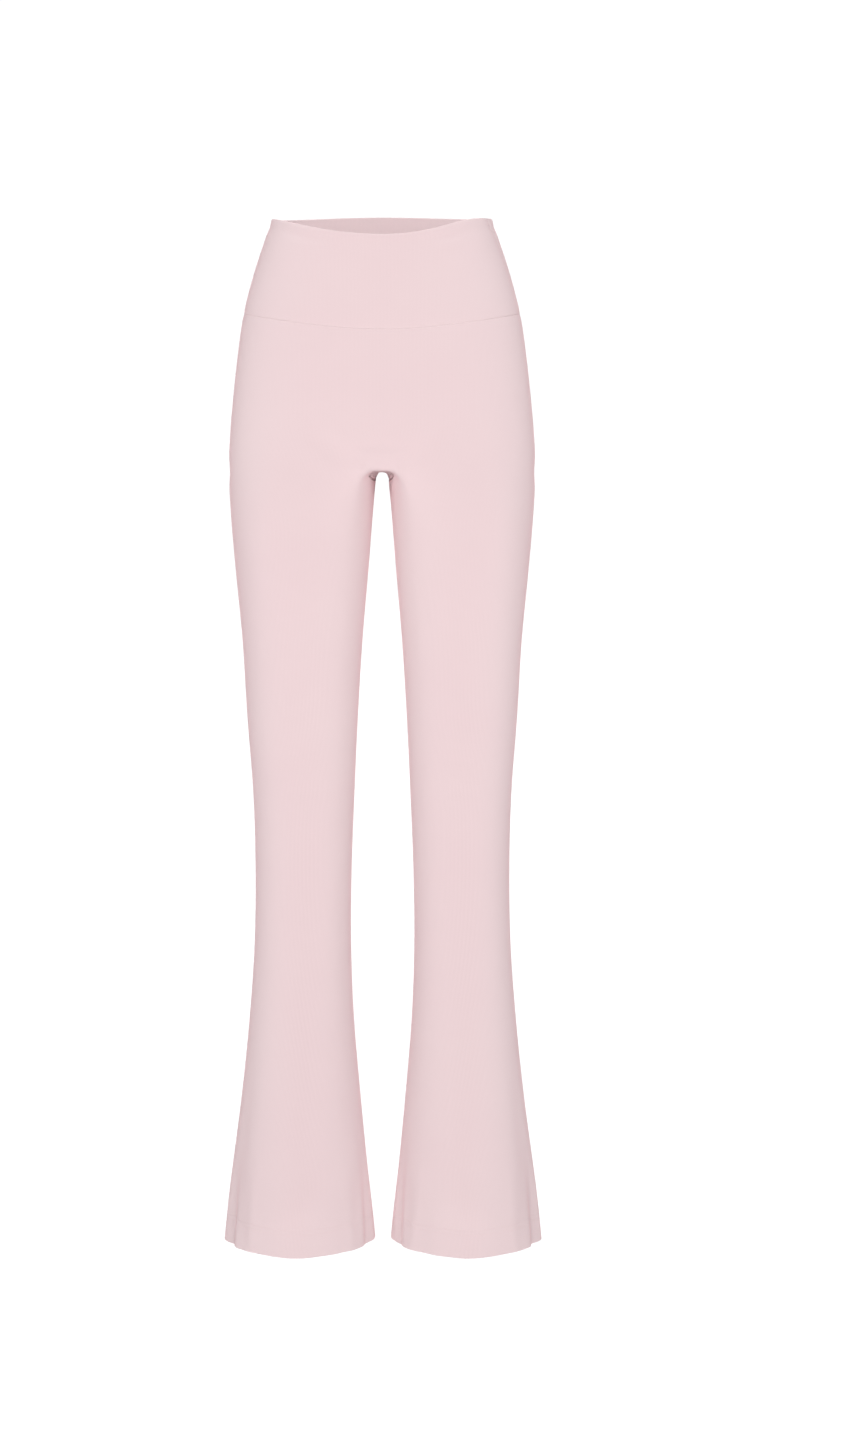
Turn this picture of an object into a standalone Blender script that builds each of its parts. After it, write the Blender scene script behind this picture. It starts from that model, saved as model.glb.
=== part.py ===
"""Flared yoga pants, standing hollow as if worn: a wide folded waistband, a
front cut in one, two backs and a crotch gusset, all of stretch knit cloth.

Frame: +Z up, the front faces -Y, the wearer's left is +X. The origin is the
middle of the waist opening at the height of its sides. Blender units are metres.

The cloth is drawn once, as one surface of columns and rows. Columns 0 to 24 run
round each half from the centre front past the outseam to the centre back.
Columns 24 to 36 come back to the front along the crotch and, below it, along
the inner leg. Rows run from the waist to the hem. Each cut piece is then a set
of cells of that surface, drawn in by half a seam gap and given its thickness.
"""

import math

import bmesh
import bpy
from mathutils import Vector

MM = 0.001

PIECES = ("waistband_front", "waistband_back", "front", "back_left", "back_right", "gusset")

# Cloth.
KNIT_COLOUR = (0.83, 0.69, 0.70)
KNIT_ROUGHNESS = 0.85
BODY_WALL = 1.6 * MM
BAND_WALL = 2.4 * MM
SEAM_GAP = 0.3 * MM

# Heights, from the origin.
RIM_FRONT = -21.5 * MM
RIM_SIDE = -3.0 * MM
RIM_BACK = 3.0 * MM
BAND_SEAM_FRONT = -118.0 * MM
BAND_SEAM_SIDE = -101.0 * MM
BAND_SEAM_BACK = -98.0 * MM
SPLIT_FRONT = -224.0 * MM
SPLIT_SIDE = -206.0 * MM
SPLIT_BACK = -198.0 * MM
THIGH_TOP = -330.0 * MM
HEM = -1080.0 * MM

# Columns and rows of the surface.
OUTSEAM = 12
CENTRE_BACK = 24
INSEAM = 30
COLUMNS = 36
BAND_ROWS = 6
SEAT_ROWS = 6
FORK_STEPS = (0.09, 0.19, 0.31, 0.45, 0.62, 0.81, 1.0)
SPLIT_ROW = BAND_ROWS + SEAT_ROWS
THIGH_ROW = SPLIT_ROW + len(FORK_STEPS)
# Rows down the leg, drawn closer together towards the hem by this share.
LEG_ROWS = 25
LEG_CROWDING = 0.25

# Gusset: the columns and rows that it takes up round the crotch.
GUSSET_FRONT = 34
GUSSET_BACK = 27
GUSSET_ROWS = 3

# The waistband's side seam leans this many columns forward at the rim.
LEAN_LEFT = 2.4
LEAN_RIGHT = 0.4

# Body sections, in mm: half the width, and the depths before and behind the origin.
BODY_SECTIONS = (
    # height, half, front, back, power
    (15, 107.5, 78.5, 85.0, 2.15),
    (0, 112.8, 81.0, 88.5, 2.15),
    (-30, 123.4, 86.5, 96.0, 2.15),
    (-60, 133.2, 91.0, 103.0, 2.15),
    (-100, 143.6, 95.5, 111.5, 2.2),
    (-150, 150.9, 98.5, 121.5, 2.25),
    (-200, 156.2, 99.0, 128.0, 2.3),
    (-240, 159.6, 97.5, 128.0, 2.35),
    (-270, 160.0, 96.0, 123.0, 2.4),
)

# Leg sections, in mm: the inner and outer edge from the middle of the garment.
LEG_SECTIONS = (
    # height, inner, outer, front, back, power
    (-270, 4.5, 160.0, 95.5, 121.0, 2.4),
    (-300, 8.2, 158.8, 94.0, 110.0, 2.35),
    (-330, 11.2, 156.4, 92.0, 99.0, 2.3),
    (-380, 15.5, 151.8, 88.0, 84.5, 2.25),
    (-440, 20.6, 146.0, 82.5, 73.0, 2.2),
    (-520, 25.5, 141.4, 76.0, 63.5, 2.15),
    (-600, 29.2, 135.5, 70.5, 58.5, 2.1),
    (-680, 32.3, 133.6, 66.0, 60.0, 2.1),
    (-760, 33.2, 135.0, 64.0, 66.0, 2.1),
    (-840, 30.5, 140.8, 66.0, 75.5, 2.05),
    (-920, 24.0, 149.2, 72.0, 87.5, 1.9),
    (-1000, 16.4, 159.8, 80.0, 100.5, 1.72),
    (-1080, 8.0, 169.6, 87.0, 111.5, 1.56),
)

# The crotch seen from the side, in mm: its lowest point and how it bends up.
CROTCH_LOW_Y = 4.0
CROTCH_LOW_Z = -264.9
CROTCH_FRONT_POWER = 6.5
CROTCH_BACK_POWER = 2.3
# How far the cloth runs sideways from the crotch before it turns down the leg.
REACH_MIDDLE = 24 * MM
REACH_ENDS = 90 * MM
CORNER_TURN = 0.4
# How strongly it is held up ahead of the gusset, where the front ends in a straight edge.
FRONT_LIFT = 50 * MM

# Share of the ring between the inseam and the line down from the centre front or back.
INNER_SHARE_TOP = 0.140
INNER_SHARE_LOW = 6 / 36
INNER_SHARE_LOW_HEIGHT = -520 * MM

# The largest folds of the flare, on both legs. Place is the share of the ring from
# the inseam round the front; width and depth are in mm, and a trough is negative.
RING_LENGTH = 540.0
FLARE_FOLDS = (
    # top place, top height, low place, low height, width, depth
    (0.400, -870, 0.452, -1080, 13, -3.6),
    (0.345, -960, 0.385, -1080, 12, 2.2),
    (0.060, -940, 0.030, -1080, 11, -3.0),
    (0.110, -985, 0.105, -1080, 12, 1.6),
    (0.225, -1010, 0.235, -1080, 13, -1.4),
    (0.560, -900, 0.545, -1080, 14, -3.2),
    (0.640, -930, 0.655, -1080, 15, 2.6),
    (0.760, -900, 0.765, -1080, 15, -3.0),
    (0.880, -950, 0.900, -1080, 13, 2.4),
)

# Points that measure a section's length, and the smoothing of the fork's inner columns.
SECTION_STEPS = 180
FORK_SMOOTHING = 3
FORK_FRONT = 5
FORK_BACK = 19


def table_value(table, column, height):
    """Reads one column of a table of sections at a height, along a smooth curve."""
    heights = [row[0] * MM for row in table]
    values = [row[column] for row in table]
    last = len(table) - 1
    if height >= heights[0]:
        return values[0]
    if height <= heights[last]:
        return values[last]
    slopes = []
    for index in range(len(table)):
        low = max(index - 1, 0)
        high = min(index + 1, last)
        slopes.append((values[high] - values[low]) / (heights[high] - heights[low]))
    index = next(i for i in range(last) if heights[i + 1] <= height)
    span = heights[index + 1] - heights[index]
    t = (height - heights[index]) / span
    return (
        (2 * t**3 - 3 * t**2 + 1) * values[index]
        + (t**3 - 2 * t**2 + t) * span * slopes[index]
        + (3 * t**2 - 2 * t**3) * values[index + 1]
        + (t**3 - t**2) * span * slopes[index + 1]
    )


def rounded(angle, power):
    """Cosine and sine of an angle, squared off by a superellipse's power."""
    cosine = math.cos(angle)
    sine = math.sin(angle)
    return (
        math.copysign(abs(cosine) ** (2 / power), cosine),
        math.copysign(abs(sine) ** (2 / power), sine),
    )


def place_on(curve, share):
    """The point at a share of a plane curve's length, for an even spread of columns."""
    points = [curve(step / SECTION_STEPS) for step in range(SECTION_STEPS + 1)]
    lengths = [0.0]
    for start, end in zip(points, points[1:]):
        lengths.append(lengths[-1] + math.dist(start, end))
    wanted = share * lengths[-1]
    for index in range(SECTION_STEPS):
        if lengths[index + 1] >= wanted:
            part = (wanted - lengths[index]) / (lengths[index + 1] - lengths[index])
            start, end = points[index], points[index + 1]
            return tuple(a + (b - a) * part for a, b in zip(start, end))
    return points[-1]


def body_point(share, height):
    """A point of the left half of the body, from the centre front to the centre back."""
    half, front, back, power = (table_value(BODY_SECTIONS, i, height) for i in (1, 2, 3, 4))

    def curve(t):
        along, across = rounded(math.pi * t, power)
        return (half * across, -front * along if along > 0 else -back * along)

    x, y = place_on(curve, share)
    return Vector((x * MM, y * MM, height))


def leg_point(share, height):
    """A point of the left leg, from the inseam round the front and back again."""
    inner, outer, front, back, power = (
        table_value(LEG_SECTIONS, i, height) for i in (1, 2, 3, 4, 5)
    )

    def curve(t):
        across, along = rounded(2 * math.pi * t, power)
        x = (inner + outer) / 2 - (outer - inner) / 2 * across
        y = (back - front) / 2 - (back + front) / 2 * along
        return (x, y)

    x, y = place_on(curve, share)
    return Vector((x * MM, y * MM, height))


def by_column(column, front, side, back):
    """A value that runs smoothly from the centre front past the side to the back."""
    if column <= OUTSEAM:
        t = column / OUTSEAM
        start, end = front, side
    else:
        t = (column - OUTSEAM) / (CENTRE_BACK - OUTSEAM)
        start, end = side, back
    ease = (1 - math.cos(math.pi * t)) / 2
    return start + (end - start) * ease


def body_row(row, lean):
    """One row of the body above the fork, as 25 points."""
    points = []
    for column in range(CENTRE_BACK + 1):
        rim = by_column(column, RIM_FRONT, RIM_SIDE, RIM_BACK)
        seam = by_column(column, BAND_SEAM_FRONT, BAND_SEAM_SIDE, BAND_SEAM_BACK)
        split = by_column(column, SPLIT_FRONT, SPLIT_SIDE, SPLIT_BACK)
        place = column
        if row <= BAND_ROWS:
            t = row / BAND_ROWS
            height = rim + (seam - rim) * t
            place -= lean * (1 - t) * math.sin(math.pi * column / CENTRE_BACK) ** 2
        else:
            height = seam + (split - seam) * (row - BAND_ROWS) / SEAT_ROWS
        points.append(body_point(place / CENTRE_BACK, height))
    return points


def crotch_point(share):
    """A point of the crotch line, from the centre back (0) to the centre front (1)."""
    start = body_point(1.0, SPLIT_BACK)
    end = body_point(0.0, SPLIT_FRONT)
    low_y = CROTCH_LOW_Y * MM
    low_z = CROTCH_LOW_Z * MM

    def curve(t):
        if t < 0.5:
            along, up = rounded(math.pi * (0.5 - t), CROTCH_BACK_POWER)
            top = start
        else:
            along, up = rounded(math.pi * (t - 0.5), CROTCH_FRONT_POWER)
            top = end
        return (low_y + (top.y - low_y) * up, top.z + (low_z - top.z) * along)

    y, z = place_on(curve, share)
    return Vector((0.0, y, z))


def ring_share(column, height):
    """Where a column meets the leg's ring at a height."""
    t = (height - THIGH_TOP) / (INNER_SHARE_LOW_HEIGHT - THIGH_TOP)
    t = min(max(t, 0.0), 1.0)
    inner = INNER_SHARE_TOP + (INNER_SHARE_LOW - INNER_SHARE_TOP) * t
    if column <= OUTSEAM:
        return inner + (0.5 - inner) * column / OUTSEAM
    if column <= CENTRE_BACK:
        return 0.5 + (0.5 - inner) * (column - OUTSEAM) / (CENTRE_BACK - OUTSEAM)
    if column <= INSEAM:
        return 1 - inner * (INSEAM - column) / (INSEAM - CENTRE_BACK)
    return inner * (column - INSEAM) / (COLUMNS - INSEAM)


def leg_ring(height):
    """A level ring of the leg, as 36 points from column 0."""
    return [leg_point(ring_share(column, height), height) for column in range(COLUMNS)]


def leg_heights():
    """The heights of the leg's rings below the thigh's first."""
    steps = [row / LEG_ROWS for row in range(1, LEG_ROWS + 1)]
    return [THIGH_TOP + (HEM - THIGH_TOP) * t * (1 + LEG_CROWDING * (1 - t)) for t in steps]


def fold_depth(share, height):
    """How far the flare's folds move the cloth outwards at a place."""
    depth = 0.0
    for top_place, top, low_place, low, width, fold in FLARE_FOLDS:
        t = (top * MM - height) / ((top - low) * MM)
        if t <= 0:
            continue
        away = (share - top_place - (low_place - top_place) * t) * RING_LENGTH / width
        growth = math.sin(math.pi / 2 * min(t, 1.0)) ** 1.5
        depth += fold * MM * math.exp(-(away**2)) * growth
    return depth


def folded_ring(height):
    """A ring of the leg with the flare's folds, moved along the ring's own normals."""
    ring = leg_ring(height)
    moved = []
    for column, point in enumerate(ring):
        along = ring[(column + 1) % COLUMNS] - ring[column - 1]
        outward = along.cross(Vector((0, 0, 1))).normalized()
        moved.append(point + outward * fold_depth(ring_share(column, height), height))
    return moved


def fork_rows(split):
    """The split row, and the rows from it down to the thigh's first level ring."""
    span = THIGH_TOP - SPLIT_SIDE
    step = 10 * MM
    low = leg_ring(THIGH_TOP)
    lower = leg_ring(THIGH_TOP - step)
    starts, leaves, arrives = [], [], []
    for column in range(COLUMNS):
        arrives.append((lower[column] - low[column]) * (-span / step))
        if column <= CENTRE_BACK:
            start = split[column]
            share = column / CENTRE_BACK
            leave = (start - body_point(share, start.z + step)) * ((start.z - THIGH_TOP) / step)
        else:
            share = (column - CENTRE_BACK) / (COLUMNS - CENTRE_BACK)
            start = crotch_point(share)
            edge = abs(2 * share - 1) ** 1.5
            reach = REACH_MIDDLE + (REACH_ENDS - REACH_MIDDLE) * edge
            leave = Vector((reach, 0, FRONT_LIFT * edge if column > INSEAM else 0))
        if column in (0, CENTRE_BACK):
            leave = leave.lerp(Vector((REACH_ENDS, 0, 0)), CORNER_TURN)
        starts.append(start)
        leaves.append(leave)
    rows = []
    for t in FORK_STEPS:
        rows.append([
            starts[i] * (2 * t**3 - 3 * t**2 + 1)
            + leaves[i] * (t**3 - 2 * t**2 + t)
            + low[i] * (3 * t**2 - 2 * t**3)
            + arrives[i] * (t**3 - t**2)
            for i in range(COLUMNS)
        ])
    return starts, rows


def half_rows(lean):
    """All rows of the left half: body rows of 25 points, then rings of 36."""
    rows = [body_row(row, lean) for row in range(SPLIT_ROW)]
    starts, fork = fork_rows(body_row(SPLIT_ROW, lean))
    rows.append(starts)
    rows.extend(fork)
    rows.extend(folded_ring(height) for height in leg_heights())
    return rows


def piece_of(row, column, side):
    """The cut piece that a cell of the surface belongs to."""
    front = column < OUTSEAM or column >= INSEAM
    if row < BAND_ROWS:
        return "waistband_front" if front else "waistband_back"
    if SPLIT_ROW <= row < SPLIT_ROW + GUSSET_ROWS and GUSSET_BACK <= column < GUSSET_FRONT:
        return "gusset"
    if front:
        return "front"
    return "back_" + side


def build_surface():
    """The whole outer surface, with each face's piece kept in a layer."""
    surface = bmesh.new()
    names = surface.faces.layers.int.new("piece")
    centre_line = {}
    for side, sign, lean in (("left", 1, LEAN_LEFT), ("right", -1, LEAN_RIGHT)):
        grid = []
        for row, points in enumerate(half_rows(lean)):
            line = []
            for column, point in enumerate(points):
                on_centre = row <= SPLIT_ROW and (column == 0 or column >= CENTRE_BACK)
                if on_centre and (row, column) in centre_line:
                    line.append(centre_line[(row, column)])
                    continue
                x = 0.0 if on_centre else sign * point.x
                vert = surface.verts.new((x, point.y, point.z))
                if on_centre:
                    centre_line[(row, column)] = vert
                line.append(vert)
            grid.append(line)
        for row in range(len(grid) - 1):
            cells = CENTRE_BACK if row < SPLIT_ROW else COLUMNS
            for column in range(cells):
                after = (column + 1) % COLUMNS
                corners = [grid[row][column], grid[row + 1][column],
                           grid[row + 1][after], grid[row][after]]
                if sign < 0:
                    corners.reverse()
                surface.faces.new(corners)[names] = PIECES.index(piece_of(row, column, side))
        for line in grid[SPLIT_ROW - 1:THIGH_ROW + 1]:
            for column, vert in enumerate(line):
                vert.tag = column <= FORK_FRONT or column >= FORK_BACK
    smooth_fork(surface)
    surface.normal_update()
    return surface, names


def smooth_fork(surface):
    """Evens out the fork, where the columns of body, crotch and legs meet."""
    fork = [vert for vert in surface.verts if vert.tag]
    for _ in range(FORK_SMOOTHING):
        bmesh.ops.smooth_vert(
            surface, verts=fork, factor=0.5, use_axis_x=True, use_axis_y=True, use_axis_z=True
        )


def seam_shift(vert, faces, seams):
    """Moves a point on a piece's seam back by half the seam gap, within the cloth."""
    inward = []
    for edge in seams:
        face = next(f for f in edge.link_faces if f in faces)
        along = (edge.verts[1].co - edge.verts[0].co).normalized()
        side = face.normal.cross(along)
        if side.dot(face.calc_center_median() - edge.verts[0].co) < 0:
            side.negate()
        inward.append(side)
    if not inward:
        return Vector()
    if len(inward) == 1:
        return inward[0] * (SEAM_GAP / 2)
    total = inward[0] + inward[1]
    return total * (SEAM_GAP / 2 / (1 + inward[0].dot(inward[1])))


def build_piece(surface, names, name, wall):
    """Makes one cut piece as a closed wall: an outer skin, an inner one and the edge."""
    faces = {face for face in surface.faces if face[names] == PIECES.index(name)}
    edges = {edge for face in faces for edge in face.edges}
    border = {edge for edge in edges if sum(face in faces for face in edge.link_faces) == 1}
    seams = {edge for edge in border if len(edge.link_faces) == 2}
    verts = {vert for face in faces for vert in face.verts}
    order = sorted(verts, key=lambda vert: vert.index)
    mesh = bmesh.new()
    outer, inner = {}, {}
    for vert in order:
        own = [edge for edge in vert.link_edges if edge in seams]
        point = vert.co + seam_shift(vert, faces, own)
        outer[vert] = mesh.verts.new(point)
        inner[vert] = mesh.verts.new(point - vert.normal * wall)
    for face in sorted(faces, key=lambda item: item.index):
        corners = list(face.verts)
        mesh.faces.new([outer[vert] for vert in corners])
        mesh.faces.new([inner[vert] for vert in reversed(corners)])
        for loop in face.loops:
            if loop.edge in border:
                start, end = loop.vert, loop.link_loop_next.vert
                mesh.faces.new([outer[end], outer[start], inner[start], inner[end]])
    return mesh


def add_object(name, mesh, material):
    data = bpy.data.meshes.new(name)
    mesh.to_mesh(data)
    mesh.free()
    data.materials.append(material)
    data.shade_smooth()
    data.set_sharp_from_angle(angle=math.radians(50))
    thing = bpy.data.objects.new(name, data)
    bpy.context.scene.collection.objects.link(thing)
    return thing


def knit(name, colour, roughness):
    material = bpy.data.materials.new(name)
    material.use_nodes = True
    shader = material.node_tree.nodes["Principled BSDF"]
    shader.inputs["Base Color"].default_value = (*colour, 1.0)
    shader.inputs["Roughness"].default_value = roughness
    shader.inputs["Metallic"].default_value = 0.0
    return material


def main():
    for thing in list(bpy.data.objects):
        bpy.data.objects.remove(thing, do_unlink=True)
    surface, names = build_surface()
    surface.verts.index_update()
    surface.faces.index_update()
    surface.normal_update()
    for name in PIECES:
        wall = BAND_WALL if name.startswith("waistband") else BODY_WALL
        material = knit(name + "_knit", KNIT_COLOUR, KNIT_ROUGHNESS)
        add_object(name, build_piece(surface, names, name, wall), material)
    surface.free()


main()
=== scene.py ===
"""Flared yoga pants, dressed: knit cloth with its creases, rolled seams and stitches.

The cloth is drawn once, as one smooth surface of columns and rows, and then cut
into its six pieces. Each piece gets its thickness, a folded rim or hem, and edges
that roll in where it is sewn to the next one. Units are metres, +Z is up, the
front faces -Y, and the origin is the middle of the waist opening.
"""

import math

import bmesh
import bpy
import numpy as np
from bpy.props import FloatProperty, FloatVectorProperty, PointerProperty
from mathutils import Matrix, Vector, kdtree
from mathutils.bvhtree import BVHTree


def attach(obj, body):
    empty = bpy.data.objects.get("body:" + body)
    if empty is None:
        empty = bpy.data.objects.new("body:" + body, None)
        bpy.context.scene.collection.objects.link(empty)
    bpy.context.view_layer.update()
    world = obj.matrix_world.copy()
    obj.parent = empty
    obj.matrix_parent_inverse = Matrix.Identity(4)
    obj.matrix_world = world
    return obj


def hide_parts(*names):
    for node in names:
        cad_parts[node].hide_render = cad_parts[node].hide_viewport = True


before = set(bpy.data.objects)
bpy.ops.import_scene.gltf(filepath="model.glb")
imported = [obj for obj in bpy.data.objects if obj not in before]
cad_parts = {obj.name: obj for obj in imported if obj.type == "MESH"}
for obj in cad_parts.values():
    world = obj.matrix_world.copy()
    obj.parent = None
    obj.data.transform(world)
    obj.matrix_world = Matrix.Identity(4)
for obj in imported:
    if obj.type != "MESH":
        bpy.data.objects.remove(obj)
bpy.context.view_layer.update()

bl_info = {
    "name": "Flared yoga pants",
    "version": (1, 0, 0),
    "blender": (4, 5, 0),
    "location": "3D View > Sidebar > Pants",
    "description": "Builds flared stretch pants from cut pieces of knit cloth",
    "category": "Add Mesh",
}

MM = 0.001

PIECES = ("waistband_front", "waistband_back", "front", "back_left", "back_right", "gusset")
SURFACE = "pants_cloth_surface"
WEAVE = "weave"

# Heights, from the origin.
RIM_FRONT = -21.5 * MM
RIM_SIDE = -3.0 * MM
RIM_BACK = 3.0 * MM
BAND_SEAM_FRONT = -118.0 * MM
BAND_SEAM_SIDE = -101.0 * MM
BAND_SEAM_BACK = -98.0 * MM
SPLIT_FRONT = -224.0 * MM
SPLIT_SIDE = -206.0 * MM
SPLIT_BACK = -198.0 * MM
THIGH_TOP = -330.0 * MM
HEM = -1080.0 * MM

# Columns and rows of the surface.
OUTSEAM = 12
CENTRE_BACK = 24
INSEAM = 30
COLUMNS = 36
BAND_ROWS = 6
SEAT_ROWS = 6
FORK_STEPS = (0.09, 0.19, 0.31, 0.45, 0.62, 0.81, 1.0)
SPLIT_ROW = BAND_ROWS + SEAT_ROWS
THIGH_ROW = SPLIT_ROW + len(FORK_STEPS)
LEG_ROWS = 25
LEG_CROWDING = 0.25
# The columns that the cloth's wales run straight down, on the front and the back.
FRONT_GRAIN = 6
BACK_GRAIN = 18

GUSSET_FRONT = 34
GUSSET_BACK = 27
GUSSET_ROWS = 3

# The waistband's side seam leans this many columns forward at the rim.
LEAN_LEFT = 2.4
LEAN_RIGHT = 0.4

# Body sections, in mm: half the width, and the depths before and behind the origin.
BODY_SECTIONS = (
    # height, half, front, back, power
    (15, 107.5, 78.5, 85.0, 2.15),
    (0, 112.8, 81.0, 88.5, 2.15),
    (-30, 123.4, 86.5, 96.0, 2.15),
    (-60, 133.2, 91.0, 103.0, 2.15),
    (-100, 143.6, 95.5, 111.5, 2.2),
    (-150, 150.9, 98.5, 121.5, 2.25),
    (-200, 156.2, 99.0, 128.0, 2.3),
    (-240, 159.6, 97.5, 128.0, 2.35),
    (-270, 160.0, 96.0, 123.0, 2.4),
)

# Leg sections, in mm: the inner and outer edge from the middle of the garment.
LEG_SECTIONS = (
    # height, inner, outer, front, back, power
    (-270, 4.5, 160.0, 95.5, 121.0, 2.4),
    (-300, 8.2, 158.8, 94.0, 110.0, 2.35),
    (-330, 11.2, 156.4, 92.0, 99.0, 2.3),
    (-380, 15.5, 151.8, 88.0, 84.5, 2.25),
    (-440, 20.6, 146.0, 82.5, 73.0, 2.2),
    (-520, 25.5, 141.4, 76.0, 63.5, 2.15),
    (-600, 29.2, 135.5, 70.5, 58.5, 2.1),
    (-680, 32.3, 133.6, 66.0, 60.0, 2.1),
    (-760, 33.2, 135.0, 64.0, 66.0, 2.1),
    (-840, 30.5, 140.8, 66.0, 75.5, 2.05),
    (-920, 24.0, 149.2, 72.0, 87.5, 1.9),
    (-1000, 16.4, 159.8, 80.0, 100.5, 1.72),
    (-1080, 8.0, 169.6, 87.0, 111.5, 1.56),
)

# The crotch seen from the side, in mm: its lowest point and how squarely it bends up.
CROTCH_LOW_Y = 4.0
CROTCH_LOW_Z = -264.9
CROTCH_FRONT_POWER = 6.5
CROTCH_BACK_POWER = 2.3
# How strongly the cloth leaves the crotch line sideways, in its middle and at its
# ends, how far its corners turn with it, and how much the front's end lifts.
REACH_MIDDLE = 24 * MM
REACH_ENDS = 90 * MM
REACH_POWER = 1.5
CORNER_TURN = 0.4
FRONT_LIFT = 50 * MM

# The share of a leg's ring between the inseam and the column at the crotch's end.
INNER_SHARE_TOP = 0.140
INNER_SHARE_LOW = 6 / 36
INNER_SHARE_LOW_HEIGHT = -520 * MM

# The largest folds of the flare, on both legs. Place is the share of the ring from
# the inseam round the front; width and depth are in mm, and a trough is negative.
RING_LENGTH = 540.0
FLARE_FOLDS = (
    # top place, top height, low place, low height, width, depth
    (0.400, -870, 0.452, -1080, 13, -3.6),
    (0.345, -960, 0.385, -1080, 12, 2.2),
    (0.060, -940, 0.030, -1080, 11, -3.0),
    (0.110, -985, 0.105, -1080, 12, 1.6),
    (0.225, -1010, 0.235, -1080, 13, -1.4),
    (0.560, -900, 0.545, -1080, 14, -3.2),
    (0.640, -930, 0.655, -1080, 15, 2.6),
    (0.760, -900, 0.765, -1080, 15, -3.0),
    (0.880, -950, 0.900, -1080, 13, 2.4),
)

FOLD_GROWTH = 1.5

# Steps in which a section's length is measured, and the height over which a slope is.
SECTION_STEPS = 180
SLOPE_STEP = 10 * MM
# The fork's columns beside the centre lines are eased this many times.
FORK_SMOOTHING = 3
FORK_FRONT = 5
FORK_BACK = 19
SMOOTH_LEVELS = 2

# Creases, in mm. Each is a soft bowed trough, or a ridge where its
# depth is positive, drawn on the cloth that faces one way. Across is X on the front
# and back, and Y on the sides. Roll is the share of it that rises beside it. A crease
# that ends below the hem runs out through it at full depth.
FRONT, BACK, LEFT, RIGHT = (0, -1, 0), (0, 1, 0), (1, 0, 0), (-1, 0, 0)
CREASES = (
    # faces, from across, height, to across, height, bow, width, depth, roll
    # crotch: the shade above the front's straight edge, and the pull to each hip
    (FRONT, -27, -250, 29, -249, -2, 5, -1.0, 0.5),
    (FRONT, -22, -252, -72, -216, 7, 9, -1.0, 0.4),
    (FRONT, 21, -252, 66, -213, -7, 9, -0.9, 0.4),
    (FRONT, -58, -262, -118, -243, 5, 11, -0.6, 0.4),
    (FRONT, 62, -266, 121, -240, -5, 11, -0.6, 0.4),
    # below the waistband's seam, where the band grips
    (FRONT, -118, -121, -52, -132, 3, 7, -0.7, 0.5),
    (FRONT, 58, -133, 122, -120, 3, 8, -0.7, 0.5),
    (FRONT, -30, -131, 40, -130, 2, 6, -0.4, 0.3),
    # rim: short pulls at the corners
    (FRONT, -106, -15, -48, -29, -2, 4, -1.6, 0.4),
    (FRONT, 42, -29, 101, -14, -2, 4, -1.5, 0.4),
    # knees
    (FRONT, -122, -566, -66, -557, 4, 9, -0.8, 0.5),
    (FRONT, -96, -590, -48, -597, -4, 10, -0.7, 0.5),
    (FRONT, 60, -560, 118, -571, 4, 9, -0.8, 0.5),
    (FRONT, 44, -601, 92, -592, -4, 10, -0.6, 0.5),
    # flare, front: a narrow fold near each outer edge
    (FRONT, -143, -985, -149, -1082, 2, 5, -1.1, 0.6),
    (FRONT, 144, -988, 150, -1082, -2, 5, -1.0, 0.6),
    # the hem's weight turns the flare under along a slanting line
    (FRONT, -4, -996, -150, -1050, 3, 20, 4.0, 0.0),
    (FRONT, 8, -997, 148, -1046, -3, 20, 4.0, 0.0),
    # flare, front: softer folds beside the inseams and in its middle
    (FRONT, -30, -975, -19, -1082, -2, 6, -1.5, 0.6),
    (FRONT, 29, -970, 18, -1082, 2, 6, -1.6, 0.6),
    (FRONT, -70, -1020, -64, -1082, 2, 8, -0.8, 0.6),
    (FRONT, 76, -1026, 70, -1082, -2, 8, -0.7, 0.6),
    # seat and the backs of the thighs
    (BACK, -16, -262, -88, -288, -8, 10, -1.3, 0.4),
    (BACK, 15, -263, 90, -285, 8, 10, -1.2, 0.4),
    (BACK, -26, -290, -74, -312, -5, 9, -0.8, 0.4),
    (BACK, 28, -288, 79, -313, 5, 9, -0.9, 0.4),
    (BACK, -9, -214, -58, -232, -5, 9, -0.9, 0.4),
    (BACK, 9, -218, 55, -230, 5, 9, -0.9, 0.4),
    # behind the knees
    (BACK, -122, -571, -52, -560, -5, 10, -1.1, 0.5),
    (BACK, -118, -592, -60, -588, 4, 9, -0.9, 0.5),
    (BACK, -104, -616, -50, -607, -5, 10, -0.8, 0.5),
    (BACK, 50, -563, 120, -573, -5, 10, -1.1, 0.5),
    (BACK, 58, -586, 121, -594, 4, 9, -1.0, 0.5),
    (BACK, 47, -612, 99, -618, -5, 10, -0.7, 0.5),
    # flare, back
    (BACK, -128, -960, -140, -1082, 3, 7, -1.9, 0.6),
    (BACK, -66, -985, -58, -1082, -3, 8, -1.4, 0.6),
    (BACK, 124, -950, 138, -1082, -3, 7, -2.0, 0.6),
    (BACK, 60, -992, 54, -1082, 3, 8, -1.3, 0.6),
    # sides: pulls at the hip and drape in the flare
    (LEFT, -38, -262, 26, -278, 6, 10, -0.7, 0.4),
    (RIGHT, -34, -266, 30, -276, 6, 10, -0.7, 0.4),
    (LEFT, -12, -975, -16, -1082, 3, 7, -1.8, 0.6),
    (LEFT, 38, -990, 44, -1082, -3, 8, -1.5, 0.6),
    (RIGHT, -14, -980, -18, -1082, 3, 7, -1.7, 0.6),
    (RIGHT, 36, -985, 43, -1082, -3, 8, -1.6, 0.6),
)

# How soon a crease reaches full depth on cloth that turns to its side, and the powers
# with which creases thin out at both ends, or at the upper end alone.
CREASE_FACING = 1.6
CREASE_TAPER = 0.8
CREASE_RUN_OUT = 1.3

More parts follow.
